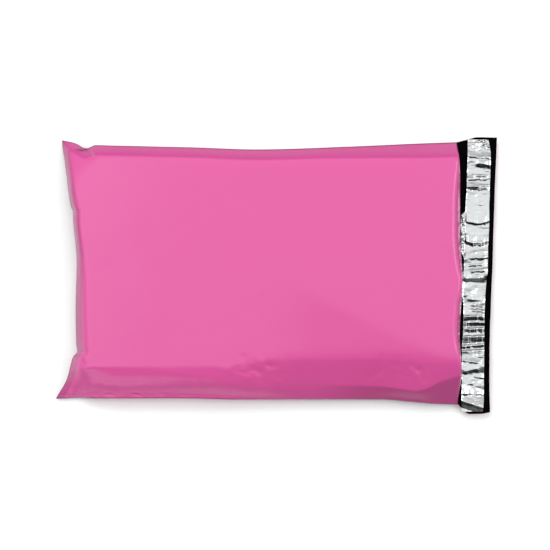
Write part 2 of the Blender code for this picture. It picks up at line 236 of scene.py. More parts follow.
# Creases in the front panel: (x and y of one end, x and y of the other, half width, height, which is
# negative in a valley).
CREASES = (
    (225.0, 68.4, 233.4, 55.2, 3.6, -0.8),
    (205.8, 51.6, 229.8, 39.6, 5.0, 0.9),
    (240.6, 52.8, 253.8, 34.8, 4.8, -1.8),
    (252.4, 54.0, 258.6, 45.6, 3.8, 0.5),
    (247.0, 30.5, 252.0, 30.0, 3.6, 0.8),
    (253.8, 58.8, 260.0, 51.0, 3.6, -0.8),
    (266.0, 46.0, 272.8, 38.4, 4.2, -0.6),
    (222.0, 47.0, 230.0, 44.0, 3.6, 0.6),
    (212.0, 45.0, 209.0, 49.0, 3.6, -0.6),
    (247.8, 140.0, 247.0, 70.0, 3.4, -0.55),
    (388.2, 68.4, 388.4, 50.4, 3.4, -0.7),
    (385.8, 49.2, 366.6, 37.2, 4.2, -0.5),
    (408.6, 62.4, 401.4, 34.8, 5.4, -0.8),
    (421.8, 58.8, 433.8, 52.8, 4.0, -1.0),
    (433.8, 52.8, 440.5, 40.8, 4.0, -1.2),
    (424.2, 52.8, 436.2, 34.8, 3.4, 0.6),
    (412.5, 27.5, 416.0, 26.0, 3.5, 0.6),
    (208.0, 314.5, 212.0, 300.0, 3.5, -0.5),
    (176.0, 302.5, 178.5, 301.0, 4.0, -0.3),
    (279.0, 302.0, 280.5, 298.0, 3.5, -0.4),
    (34.4, 319.0, 44.0, 308.5, 3.0, -4.6),
    (24.0, 313.0, 36.0, 311.0, 4.0, -1.5),
    (22.2, 72.0, 34.0, 60.0, 3.6, -1.6),
    (11.0, 43.0, 15.0, 38.0, 3.0, 1.4),
    (8.0, 32.0, 22.0, 26.0, 3.0, -0.9),
    (18.0, 52.0, 21.0, 40.0, 3.0, 1.0),
)

# Creases in the fin of the lower weld.
FIN_CREASES = (
    (92.0, 25.0, 111.0, 18.5, 1.8, -1.3),
    (158.0, 23.0, 168.0, 19.0, 1.8, -1.1),
    (35.0, 20.0, 52.0, 24.0, 2.2, 1.3),
    (60.0, 24.0, 78.0, 20.5, 2.0, -0.9),
    (128.0, 22.0, 140.0, 24.0, 2.2, 0.8),
)


def creases(x, y, lines):
    """What some creases add to the film's height."""
    height = np.zeros_like(x)
    for x0, y0, x1, y1, half_width, lift in lines:
        run_x, run_y = x1 - x0, y1 - y0
        share = ((x - x0) * run_x + (y - y0) * run_y) / (run_x**2 + run_y**2)
        share = np.clip(share, 0.0, 1.0)
        distance = np.hypot(x - x0 - run_x * share, y - y0 - run_y * share)
        height += lift * bump(distance, half_width)
    return height


# Where the film is gathered into small uneven facets: (x, y, reach along, reach across, height).
GATHERS = (
    (248.0, 48.0, 34.0, 15.0, 1.6), (410.0, 50.0, 32.0, 14.0, 1.4), (60.0, 32.0, 60.0, 12.0, 0.6),
)

# Random lumps of the film: (their length and width, seed, octaves), and how high they stand.
GATHER_LUMPS = ((10.0, 8.0), 15, 2)
PANEL_LUMPS = ((60.0, 45.0), 1, 2)
PANEL_LUMP_HEIGHT = 0.25
WALL_LUMPS = ((16.0, 30.0), 2, 3)
WALL_LUMP_HEIGHT = 0.7

# A low ridge crosses the plateau on a slant, (x and y of a point on it, its fall along x), and rounds
# over this far. Below it the film tilts down, where the tilt sets in between two places along the bag.
PLATEAU_RIDGE = (344.0, 124.0, 0.47)
RIDGE_CORNER = 3.0
PLATEAU_TILT = 0.10
TILT_START = (235.0, 330.0)

# How far in from the mouth's edge its roll has its ridge, as (y, distance), how far past the ridge it
# still climbs, and how full it is.
ROLL_WIDTH = (
    (9.6, 1.0), (51.6, 1.2), (69.6, 2.6), (87.6, 5.6), (111.6, 6.6), (129.6, 6.4), (147.6, 3.0),
    (159.6, 2.6), (171.6, 5.4), (189.6, 7.2), (213.6, 7.8), (255.6, 7.2), (273.6, 6.0), (303.6, 1.8),
    (325.3, 1.0),
)
ROLL_PAST_RIDGE = 2.2
ROLL_FULLNESS = 0.5

# The film slopes down a little before the roll: from this far inside the ridge, and how steeply.
SHOULDER = 3.8
SHOULDER_SLOPE = 0.36
SHOULDER_CORNER = 0.4

# How wide the steep side of the closed end is, as (y, width), how far from the edge it starts and how
# far its upper corner rounds.
CLOSED_START = -2.5
CLOSED_CORNER = 2.0
CLOSED_WALL = (
    (16.3, 16.0), (48.0, 15.0), (74.0, 12.0), (100.0, 12.5), (150.0, 10.5), (190.0, 7.0), (232.0, 5.5),
    (248.0, 7.5), (266.0, 6.5), (300.0, 7.5), (328.1, 9.0),
)

# The same for the upper wall, as (x, width).
UPPER_START = 0.8
UPPER_CORNER = 2.2
UPPER_WALL = ((0.0, 10.0), (60.0, 11.0), (300.0, 11.5), (380.0, 14.0), (450.0, 17.0), (484.0, 17.0))

# The crown sinks towards the ears: (x, y, reach, depth).
SUNK_CORNERS = ((10.0, 322.0, 34.0, 13.0), (6.0, 34.0, 22.0, 8.0))

# The back panel hangs from the seams, and settles on the surface between this far in and this far on.
HANG = 3.0
SETTLE = 34.0
SETTLE_AT_MOUTH = 55.0

# How many faces the film has along the pouch, along the lip and across, and how much closer together
# they are at its edges.
POUCH_COLUMNS = 262
LIP_COLUMNS = 12
BAG_ROWS = 180
CLOSER = 0.6


def closer_at_ends(share):
    """Stations along an edge, closer together at both of its ends."""
    return mix(share, 0.5 - 0.5 * np.cos(np.pi * share), CLOSER)


def bag_form(share_x, share_y, level):
    """The film. Level 1 is the front panel and the lip's inner face, and level 0 the back panel."""
    column = np.round(share_x * (POUCH_COLUMNS + 1 + LIP_COLUMNS))
    along = closer_at_ends(np.clip(column / POUCH_COLUMNS, 0.0, 1.0))
    across = np.clip((column - POUCH_COLUMNS - 1) / LIP_COLUMNS, 0.0, 1.0)
    share_y = closer_at_ends(share_y)
    return np.where(
        column <= POUCH_COLUMNS,
        pouch_form(along, share_y, level),
        lip_form(across, share_y, level),
    )


# The lower wall has two facets below its ledge. The fold between them leaves the ledge near the closed
# end and runs down towards the mouth: each as (x, distance in from the seam), and the fold's height as
# (x, share of the wall's height).
LEDGE = (
    (0.0, 34.0), (35.0, 37.5), (130.0, 38.5), (190.0, 39.0), (222.0, 42.0), (256.0, 50.0), (400.0, 51.5),
    (484.0, 53.0),
)
WALL_FOLD = (
    (0.0, 33.0), (35.0, 36.5), (72.0, 36.5), (190.0, 25.5), (253.0, 19.5), (366.0, 17.6), (406.0, 15.5),
    (430.0, 14.2), (442.0, 18.0), (460.0, 28.5), (484.0, 36.5),
)
WALL_FOLD_HEIGHT = (
    (35.0, 0.97), (72.0, 0.97), (190.0, 0.82), (253.0, 0.58), (366.0, 0.55), (430.0, 0.52), (442.0, 0.60),
    (460.0, 0.74), (484.0, 0.82),
)

# The weld stands out as a fin below the wall: its width, as (x, width), how much its edge drops, and
# where along the bag that sets in.
FIN = ((0.0, 5.0), (180.0, 5.0), (240.0, 3.2), (484.0, 3.0))
FIN_DROP = 2.4
FIN_DROP_START = (190.0, 250.0)

# The fin's foot is rippled near the closed end: (length of a ripple, seed), how high they stand, how
# much they slant, how far they reach from the foot, how many fins up they end, and where along the bag.
RIPPLES = (11.0, 22)
RIPPLE_HEIGHT = 1.5
RIPPLE_SLANT = 0.8
RIPPLE_REACH = 2.5
RIPPLE_FINS = 3
RIPPLE_END = (190.0, 240.0)

# How much the lower facet bulges at the closed end and at the mouth, where it goes from one to the
# other, and how uneven and slanted it is at the closed end: (length of a lump, seed).
CLOSED_BULGE = 0.40
MOUTH_BULGE = 0.12
BULGE_CHANGE = (190.0, 270.0)
BULGE_LUMPS = (34.0, 21)
BULGE_UNEVEN = 0.45
BULGE_SLANT = 0.6

# How far the corners of the lower wall round, as a share of its height, at the closed end and at the
# mouth, and where they go from one to the other.
LOWER_CORNERS = (0.012, 0.05)
LOWER_CORNERS_CHANGE = (190.0, 280.0)


def lower_wall(x, distance):
    """How far the lower wall has climbed, from 0 at its fin to 1 on the plateau."""
    ledge, fold, height = (through(line, x) for line in (LEDGE, WALL_FOLD, WALL_FOLD_HEIGHT))
    fin = through(FIN, x)
    climb = (distance - fin) / (fold - fin)
    share = np.clip(climb, 0.0, 1.0)
    uneven = 1 + BULGE_UNEVEN * noise_line(x + BULGE_SLANT * distance, *BULGE_LUMPS)
    bulge = mix(CLOSED_BULGE * uneven, MOUTH_BULGE, ramp(*BULGE_CHANGE, x))
    bulged = share + bulge * share * (1 - share)
    lower = height * np.maximum(bulged, climb * (distance > fold))
    upper = height + (1 - height) * (distance - fold) / (ledge - fold)
    soft = mix(*LOWER_CORNERS, ramp(*LOWER_CORNERS_CHANGE, x))
    return soft_minimum((lower, upper, np.ones_like(x)), soft)


def soft_minimum(heights, soft):
    """The lowest of some heights, where soft is how far their corners round."""
    total = sum(np.exp(-(height - heights[-1]) / soft) for height in heights)
    return heights[-1] - soft * np.log(total)


def plateau(x, y, walls, from_mouth):
    """Height of the panel over the goods. walls is how far each place has climbed up the walls."""
    crown = through(CROWN, x) + creases(x, y, CREASES)
    ridge_x, ridge_y, slant = PLATEAU_RIDGE
    below_ridge = ridge_y - slant * (x - ridge_x) - y
    crown -= PLATEAU_TILT * ramp(*TILT_START, x) * past(below_ridge, RIDGE_CORNER)
    for corner_x, corner_y, reach, depth in SUNK_CORNERS:
        crown -= depth * bump(np.hypot(x - corner_x, y - corner_y), reach)
    points = np.stack([x, y], axis=1)
    crown += rough(points, *PANEL_LUMPS) * PANEL_LUMP_HEIGHT
    crown += rough(points, *WALL_LUMPS) * WALL_LUMP_HEIGHT * (1 - walls**2)
    patches = rough(points, *GATHER_LUMPS)
    for middle_x, middle_y, reach_x, reach_y, height in GATHERS:
        reach = bump(np.hypot((x - middle_x) / reach_x, (y - middle_y) / reach_y), 1.0)
        crown += height * reach * patches
    outside_ridge = through(ROLL_WIDTH, y) + SHOULDER - from_mouth
    return crown - SHOULDER_SLOPE * past(outside_ridge, SHOULDER_CORNER)


def fin_height(x, y, seam, from_lower):
    """Height of the film at its edges, where the lower weld is a rippled fin."""
    fin = through(FIN, x)
    at_fin = np.clip(1 - from_lower / fin, 0.0, 1.0)
    ripples = RIPPLE_HEIGHT * noise_line(x + RIPPLE_SLANT * from_lower, *RIPPLES)
    ripples *= (1 - ramp(*RIPPLE_END, x)) * bump(from_lower - fin, RIPPLE_REACH)
    drop = FIN_DROP * ramp(*FIN_DROP_START, x) * at_fin**2
    return seam + FILM + ripples * (from_lower < RIPPLE_FINS * fin) - drop + creases(x, y, FIN_CREASES)


def pouch_form(along, share, level):
    """The filled pouch, from the closed end at 0 to the mouth at 1."""
    x, y, seam = skin(closed_end, mouth_edge, lower_seam, upper_seam, along, share)
    length = mouth_edge(share)[0] - closed_end(share)[0]
    width = upper_seam(along)[1] - lower_seam(along)[1]
    from_closed, from_mouth = along * length, (1 - along) * length
    from_lower, from_upper = share * width, (1 - share) * width

    lower = lower_wall(x, from_lower)
    upper = facet(from_upper, UPPER_START, through(UPPER_WALL, x), UPPER_CORNER)
    closed = facet(from_closed, CLOSED_START, through(CLOSED_WALL, y), CLOSED_CORNER)
    roll = round_wall(from_mouth, through(ROLL_WIDTH, y) + ROLL_PAST_RIDGE, ROLL_FULLNESS)
    walls = lower * upper * closed
    crown = plateau(x, y, walls, from_mouth)
    top = mix(fin_height(x, y, seam, from_lower), crown, walls * roll)

    settled = (
        round_wall(from_closed - HANG, SETTLE)
        * round_wall(from_lower - HANG, SETTLE)
        * round_wall(from_upper - HANG, SETTLE)
        * round_wall(from_mouth, SETTLE_AT_MOUTH)
    )
    base = np.minimum(seam * (1 - settled), top) - FILM * (1 - settled)
    return np.stack([x, y, np.where(level > 0.5, top, base)])


# The lip's shallow waves: how high they stand, and (length, share of the height) of each.
WAVE_HEIGHT = 0.9
WAVES = ((61.0, 0.65), (27.0, 0.35))


def lip_height(x, y):
    """Height of the lip's inner face, which lies in shallow waves."""
    share = (y - MOUTH_EDGE[0][0]) / (MOUTH_EDGE[-1][0] - MOUTH_EDGE[0][0])
    near, far = through(MOUTH_EDGE, y), through(LIP_END, y)
    across = np.clip((x - near) / (far - near), 0.0, 1.0)
    turn = 2 * np.pi * (y - BAG_WIDTH / 2)
    wave = WAVE_HEIGHT * sum(part * np.sin(turn / length) for length, part in WAVES)
    return mix(MOUTH_LIFT, LIP_LIFT, across) + wave * (1 - (1 - across) ** 3)


def lip_form(across, share, level):
    """The lip, from the mouth at 0 to its end at 1."""
    x, y, _ = skin(mouth_edge, lip_end, lip_lower_side, lip_upper_side, across, share)
    x = x + FILM * (across == 0.0)
    return np.stack([x, y, lip_height(x, y) - FILM * (1 - level)])


# The liner lies over the glue, and each stands a little clear of what is under it. The glue fills most
# of its room, and stops inside the liner's sides and ends. LINER is how thick the liner is.
CLEAR = 0.3
GLUE_ROOM = 0.4
GLUE_FILL = 0.9
GLUE_FROM_SIDES = 3.0
GLUE_FROM_ENDS = 4.5
LINER = 0.12

# The liner's ends, as y, and its left and right edges, as (y, x).
LINER_ENDS = (1.5, 328.5)
LINER_LEFT = (
    (1.5, 486.2), (21.6, 486.2), (39.6, 486.8), (75.6, 486.9), (99.6, 488.4), (129.6, 489.0),
    (147.6, 488.4), (181.2, 489.6), (213.6, 490.8), (249.6, 491.4), (267.6, 492.6), (328.5, 494.2),
)
LINER_RIGHT = (
    (1.5, 511.6), (15.6, 513.0), (75.6, 513.6), (123.6, 514.2), (147.6, 515.4), (171.6, 517.8),
    (201.6, 518.4), (219.6, 519.6), (249.6, 519.8), (261.6, 520.2), (310.0, 521.4), (328.5, 519.0),
)

# Torn from the glue, the liner's left edge flares this far towards the mouth between an upper and a lower
# place, each as (y where it starts, y where it is whole), and a little about a third: (y, half width,
# reach). It stops this far from the mouth's edge.
FLARE = 5.5
FLARE_TOP = (243.0, 236.0)
FLARE_FOOT = (184.0, 196.0)
SMALL_FLARE = (147.0, 12.0, 2.5)
FROM_MOUTH = 0.6

# How uneven the flare and the two edges are, each with its (length of a lump, seed).
FLARE_UNEVEN = 0.4
FLARE_LUMPS = (9.0, 5)
LEFT_RAGGED = 0.35
LEFT_LUMPS = (4.0, 3)
RIGHT_RAGGED = 0.3
RIGHT_LUMPS = (11.0, 4)

# Sharp folds across the liner: (y, slant, sag, width of the steep side, height, reach of the gentle
# side, from, to across the liner).
FOLDS = (
    (320.0, 0.0, 0.0, 8.0, 0.8, 1.5, 0.0, 0.5),
    (306.6, -0.10, -0.5, 2.6, 1.0, 6.0, 0.0, 1.0),
    (296.8, -0.12, 0.0, 5.2, 1.45, 9.0, 0.45, 1.0),
    (289.5, 0.0, 0.0, 1.0, 0.3, 4.0, 0.8, 1.0),
    (280.0, 0.03, -0.3, 2.4, 0.6, 5.0, 0.05, 0.95),
    (274.5, 0.0, 0.0, 1.0, 0.3, 3.0, 0.0, 0.5),
    (269.2, -0.04, -0.5, 4.0, 1.15, 7.0, 0.0, 0.9),
    (249.6, 0.02, 0.0, 0.9, 0.2, 9.0, 0.35, 0.7),
    (229.8, 0.0, -3.4, 2.8, 0.9, 12.0, 0.0, 1.0),
    (222.0, 0.0, 0.0, 0.7, 0.2, 6.0, 0.6, 1.0),
    (204.8, 0.0, -2.6, 4.6, 1.35, 9.0, 0.0, 1.0),
    (191.5, 0.1, 0.0, 3.0, 0.5, 3.0, 0.3, 0.9),
    (185.0, 0.05, 0.0, 2.4, 0.8, 3.0, 0.35, 0.85),
    (283.6, -0.02, 0.3, 1.8, 0.6, 2.4, 0.0, 0.8),
    (271.6, 0.03, 0.0, 2.0, 0.7, 2.4, 0.1, 1.0),
    (176.6, 0.10, 0.0, 2.6, 0.8, 3.0, 0.2, 0.85),
    (169.4, 0.05, 0.0, 2.4, 0.8, 4.0, 0.25, 0.9),
    (159.8, 0.05, 0.0, 3.6, 1.1, 4.0, 0.0, 0.8),
    (146.0, 0.5, 0.0, 4.0, 0.5, 6.0, 0.0, 0.6),
    (133.5, -0.1, 0.0, 4.0, 0.6, 5.0, 0.3, 1.0),
    (127.6, 0.1, 0.0, 5.6, 0.95, 2.6, 0.4, 1.0),
    (120.2, -0.05, 0.0, 6.0, 1.0, 2.6, 0.35, 1.0),
    (112.6, 0.0, 0.4, 7.0, 1.15, 1.8, 0.0, 0.9),
    (105.4, 0.03, 0.5, 6.0, 1.0, 1.6, 0.0, 1.0),
    (98.6, 0.02, 0.0, 4.8, 1.4, 2.4, 0.0, 1.0),
    (87.6, 0.04, 0.0, 8.4, 1.4, 1.8, 0.0, 1.0),
    (79.2, 0.08, 0.0, 3.4, 1.5, 3.0, 0.0, 1.0),
    (71.2, 0.05, 0.0, 7.0, 1.2, 1.8, 0.0, 0.95),
    (67.4, -0.1, 0.0, 1.8, 0.8, 3.0, 0.72, 1.0),
    (60.2, -0.12, 0.0, 2.6, 1.0, 5.0, 0.0, 0.75),
    (50.0, 0.3, 0.0, 3.6, 0.6, 5.0, 0.1, 0.7),
    (42.4, -0.1, 0.0, 2.0, 0.7, 5.0, 0.65, 1.0),
    (34.0, 0.2, 0.0, 2.4, 0.4, 6.0, 0.0, 0.6),
    (20.6, -0.03, 1.6, 2.6, 1.1, 7.0, 0.0, 0.97),
)


def liner_sides(y):
    """Where the liner's left and right edges are, before they are torn and ragged."""
    return through(LINER_LEFT, y), through(LINER_RIGHT, y)


def liner_place(share_x, share_y):
    """Pattern place of a point of the liner."""
    y = mix(*LINER_ENDS, share_y)
    left, right = liner_sides(y)
    middle, half_width, reach = SMALL_FLARE
    flare = FLARE * ramp(*FLARE_TOP, y) * ramp(*FLARE_FOOT, y) + reach * bump(y - middle, half_width)
    flare *= 1 + FLARE_UNEVEN * noise_line(y, *FLARE_LUMPS)
    edge = left - flare + noise_line(y, *LEFT_LUMPS) * LEFT_RAGGED
    edge = np.maximum(edge, through(MOUTH_EDGE, y) + FROM_MOUTH)
    return mix(edge, right + noise_line(y, *RIGHT_LUMPS) * RIGHT_RAGGED, share_x), y


# The steep side of a fold rises no more than this for each millimetre across.
STEEPEST = 0.36

# A fold sways and is ragged along its length, each with its (length of a lump, first seed) from this x
# on, fades in and out at its two ends, and runs on a little past the liner's edges.
FOLD_X = 480.0
FOLD_SWAY = 0.7
FOLD_SWAY_LUMPS = (7.0, 40)
FOLD_RAGGED = 0.55
FOLD_RAGGED_LUMPS = (4.5, 80)
FADE_OUTSIDE = 0.18
FADE_INSIDE = 0.10
PAST_EDGE = 1.2


def fold_height(x, y):
    """The folds across the liner, each with a gentle side and a steep side."""
    left, right = liner_sides(y)
    middle = (left + right) / 2
    offset = np.clip((x - middle) / (right - middle), -PAST_EDGE, PAST_EDGE)
    across = (offset + 1) / 2
    height = np.zeros_like(x)
    for number, (at, slant, sag, width, lift, gentle, start, end) in enumerate(FOLDS):
        sway = fold_line(x, number, *FOLD_SWAY_LUMPS) * FOLD_SWAY
        ragged = 1 + FOLD_RAGGED * fold_line(x, number, *FOLD_RAGGED_LUMPS)
        lift = min(lift, STEEPEST * width)
        crest = at + width / 2 + slant * (x - middle) + sag * (1 - offset**2) + sway
        reach = ramp(start - FADE_OUTSIDE, start + FADE_INSIDE, across)
        reach *= 1 - ramp(end - FADE_INSIDE, end + FADE_OUTSIDE, across)
        steep_side = 1 + (y - crest) / (width * ragged)
        gentle_side = 1 - (y - crest) / gentle
        side = np.minimum(steep_side, gentle_side)
        height += lift * ragged * np.clip(side, 0.0, 1.0) * reach
    return height


def fold_line(x, number, scale, first_seed):
    """Smooth random values along one fold."""
    return noise_line(x - FOLD_X, scale, first_seed + number)


# Long soft swells of the liner: (y, half width, height), and how far they bend: (length and width of a
# lump, seed, octaves).
SWELLS = (
    (303.0, 7.0, 0.45), (262.0, 8.0, 0.75), (238.0, 7.0, 0.75), (212.0, 7.0, 0.9), (188.0, 6.0, 1.05),
    (166.0, 7.0, 1.5), (140.0, 9.0, 1.35), (117.0, 8.0, 0.45), (93.0, 7.0, 0.3), (76.0, 6.0, 0.3),
    (55.0, 8.0, 1.5), (33.0, 7.0, 1.35),
)
SWELL_BEND = 2.2
SWELL_LUMPS = ((22.0, 30.0), 14, 2)


def swell_height(points):
    """The liner's soft swells, bent and uneven."""
    x, y = points.T
    bent = y + SWELL_BEND * rough(points, *SWELL_LUMPS)
    return sum(height * bump(bent - at, half_width) for at, half_width, height in SWELLS)


# Fine creases and a soft mottle cover the foil, with their (length and width of a lump, seed, octaves).
# They are busy in some places along it, (length of a place, seed), and calm about two: (y, half width).
FINE_HEIGHT = 0.10
FINE_LUMPS = ((14.0, 4.6), 7, 2)
MOTTLE_HEIGHT = 0.42
MOTTLE_LUMPS = ((9.0, 5.5), 8, 2)
LEAST_BUSY = 0.35
BUSY_PLACES = (34.0, 11)
BUSY_FROM = (0.0, 0.7)
CALM = (232.0, 30.0)
SECOND_CALM = (95.0, 26.0)
SECOND_CALM_SHARE = 0.8


def fine_creases(points):
    """The foil's fine creases and mottle."""
    y = points[:, 1]
    busy = ramp(*BUSY_FROM, 0.5 + noise_line(y, *BUSY_PLACES)) * (1 - bump(y - CALM[0], CALM[1]))
    busy = LEAST_BUSY + (1 - LEAST_BUSY) * busy
    busy *= 1 - SECOND_CALM_SHARE * bump(y - SECOND_CALM[0], SECOND_CALM[1])
    fine = np.abs(rough(points, *FINE_LUMPS)) * FINE_HEIGHT
    return busy * (fine + rough(points, *MOTTLE_LUMPS) * MOTTLE_HEIGHT)


# The flare curls up from the lip, at least this much and crumpled more, from this far inside the left
# edge, and all of it this far outside. A groove runs where it bends up, (depth, place from the edge, half
# width), between an upper and a lower place, and only where the edge is this clear of the mouth.
CURL = (1.0, -4.0)
CURL_HEIGHT = 0.8
CURL_CRUMPLE = 1.8
CURL_LUMPS = ((2.6, 2.2), 9, 3)
GROOVE = (1.1, -0.2, 0.7)
GROOVE_TOP = (243.0, 238.0)
GROOVE_FOOT = (184.0, 190.0)
GROOVE_CLEAR = (0.5, 2.5)


def torn_side(points, left):
    """The curl of the torn flare, and the groove beside it."""
    x, y = points.T
    crumpled = CURL_HEIGHT + CURL_CRUMPLE * np.abs(rough(points, *CURL_LUMPS))
    depth, place, half_width = GROOVE
    groove = depth * bump(x - left - place, half_width) * ramp(*GROOVE_TOP, y) * ramp(*GROOVE_FOOT, y)
    groove *= ramp(*GROOVE_CLEAR, left - through(MOUTH_EDGE, y))
    return ramp(*CURL, x - left) * crumpled - groove


# The upper right corner is crumpled: from these shares across and up from these y, which slant.
CORNER_ACROSS = (0.35, 0.75)
CORNER_UP = (312.0, 322.0)
CORNER_SLANT = 8.0
CORNER_HEIGHT = 2.0
CORNER_LUMPS = ((6.0, 4.0), 12, 2)

# The lower end is folded down on a slant: this far up at its left edge and its right edge. The fold
# falls off above and below it, and the foil under it has streaks.
LOWER_FOLD = (14.5, 6.0)
LOWER_FOLD_HEIGHT = 3.6
LOWER_FOLD_ABOVE = 22.0
LOWER_FOLD_BELOW = 8.0
STREAK_START = (0.0, -3.0)
STREAK_HEIGHT = 0.4
STREAK_LUMPS = ((2.2, 12.0), 13, 2)


def crumpled_ends(points, offset):
    """The crumpled upper corner and the folded lower end. offset is the share across the liner."""
    y = points[:, 1]
    corner = ramp(*CORNER_ACROSS, offset) * ramp(*CORNER_UP, y + CORNER_SLANT * (offset - 1))
    crumple = corner * np.abs(rough(points, *CORNER_LUMPS)) * CORNER_HEIGHT
    above = y - mix(*LOWER_FOLD, offset)
    hem = np.minimum(1 - above / LOWER_FOLD_ABOVE, 1 + above / LOWER_FOLD_BELOW)
    streaks = ramp(*STREAK_START, above) * np.abs(rough(points, *STREAK_LUMPS)) * STREAK_HEIGHT
    return crumple + LOWER_FOLD_HEIGHT * np.clip(hem, 0.0, 1.0) + streaks


def liner_form(share_x, share_y, level):
    """The release liner. Level 1 is its upper face."""
    x, y = liner_place(share_x, share_y)
    points = np.stack([x, y], axis=1)
    left, right = liner_sides(y)
    height = fold_height(x, y) + swell_height(points) + fine_creases(points)
    height += torn_side(points, left) + crumpled_ends(points, (x - left) / (right - left))
    base = lip_height(x, y) + 2 * CLEAR + GLUE_ROOM
    return np.stack([x, y, base + np.maximum(height, 0.0) + LINER * level])


def glue_form(share_x, share_y, level):
    """The bead of glue. Level 1 is its upper face."""
    y = mix(LINER_ENDS[0] + GLUE_FROM_ENDS, LINER_ENDS[1] - GLUE_FROM_ENDS, share_y)
    left, right = liner_sides(y)
    x = mix(left + GLUE_FROM_SIDES, right - GLUE_FROM_SIDES, share_x)
    return np.stack([x, y, lip_height(x, y) + CLEAR + GLUE_ROOM * level * GLUE_FILL])


def in_scene(name, data):
    """Puts some data in the scene as an object."""
    thing = bpy.data.objects.new(name, data)
    bpy.context.scene.collection.objects.link(thing)
    return thing


# Faces that meet at more than this angle show a sharp edge.
SHARP_FOLD = math.radians(50.0)


def slab(name, columns, rows, form):
    """A closed sheet of small faces, each corner put in place by its form."""
    work = bmesh.new()
    middle = Matrix.Translation((0.5, 0.5, 0.0))
    bmesh.ops.create_grid(work, x_segments=columns, y_segments=rows, size=0.5, matrix=middle)
    lifted = bmesh.ops.extrude_face_region(work, geom=list(work.faces), use_keep_orig=True)
    raised = [part for part in lifted["geom"] if isinstance(part, bmesh.types.BMVert)]
    bmesh.ops.translate(work, verts=raised, vec=(0.0, 0.0, 1.0))
    bmesh.ops.recalc_face_normals(work, faces=list(work.faces))
    mesh = bpy.data.meshes.new(name)
    work.to_mesh(mesh)
    work.free()
    shares = np.empty(len(mesh.vertices) * 3)
    mesh.vertices.foreach_get("co", shares)
    x, y, z = form(*shares.reshape(-1, 3).T)
    placed = np.stack([PATTERN_X + x * MM, PATTERN_Y + y * MM, z * MM], axis=1)
    mesh.vertices.foreach_set("co", placed.ravel())
    mesh.update()
    mesh.shade_smooth()
    mesh.set_sharp_from_angle(angle=SHARP_FOLD)
    return in_scene(name, mesh)


# Painted shade: the film is painted deeper in colour on its upper wall, at the closed end, on the mouth's
# roll, on the lower facet and on the lower wall below its ledge, where these steep sides fall in shade.
# Each is (how strong, how far past its line). The last two start between two places along the bag, and the
# ledge fades to a share between two more.
PAINTED_SHADE_UPPER = (0.50, 2.5)
PAINTED_SHADE_CLOSED = (0.58, 9.0)
PAINTED_SHADE_MOUTH = (0.50, 0.0)
PAINTED_SHADE_LOW = (0.66, 0.0)
PAINTED_SHADE_LOW_START = (250.0, 400.0)
PAINTED_SHADE_LEDGE = (0.19, -2.0)
PAINTED_SHADE_LEDGE_START = (210.0, 300.0)
PAINTED_SHADE_LEDGE_FADE = (370.0, 440.0)
PAINTED_SHADE_LEDGE_END = 0.5
PAINTED_SHADE_BLUR = 1.5

# The marks end where the pouch does, from this far past the mouth's edge.
POUCH_END = (2.0, 0.0)
WELD_WIDTH = 5.0
WELD_BLUR = 0.8

# The film's cut edges show some of its black inner side, and the mouth's edge a little less.
CUT_EDGE = 0.9
MOUTH_CUT = 0.5

# Painted shadow where the corners fold in on themselves, dark between the folds: (x, y, reach along, reach
# across).
PAINTED_NOTCH_SHADOWS = ((35.6, 316.2, 2.2, 1.8), (31.0, 315.0, 5.0, 1.3), (24.4, 74.0, 1.6, 1.6))


def within(distance, reach):
    """1 well inside a reach and 0 well past it."""
    return ramp(reach + PAINTED_SHADE_BLUR, reach - PAINTED_SHADE_BLUR, distance)


def pattern_place(x, y):
    """Where a place in the frame is on the pattern."""
    return (x - PATTERN_X) / MM, (y - PATTERN_Y) / MM


def painted_shade_share(x, y, from_lower, from_upper):
    """How much painted shade the film has on its steep sides, from 0 to 1."""
    from_closed, inside_mouth = x - through(CLOSED_END, y), through(MOUTH_EDGE, y) - x
    low = PAINTED_SHADE_LOW[0] * within(from_lower, through(WALL_FOLD, x) + PAINTED_SHADE_LOW[1])
    ledge = PAINTED_SHADE_LEDGE[0] * within(from_lower, through(LEDGE, x) + PAINTED_SHADE_LEDGE[1])
    return np.maximum.reduce([
        PAINTED_SHADE_UPPER[0] * within(from_upper, through(UPPER_WALL, x) + PAINTED_SHADE_UPPER[1]),
        PAINTED_SHADE_CLOSED[0] * within(from_closed, PAINTED_SHADE_CLOSED[1]),
        PAINTED_SHADE_MOUTH[0] * within(inside_mouth, through(ROLL_WIDTH, y) + PAINTED_SHADE_MOUTH[1]),
        low * ramp(*PAINTED_SHADE_LOW_START, x),
        ledge * ramp(*PAINTED_SHADE_LEDGE_START, x) * mix(1.0, PAINTED_SHADE_LEDGE_END, ramp(*PAINTED_SHADE_LEDGE_FADE, x)),
    ])


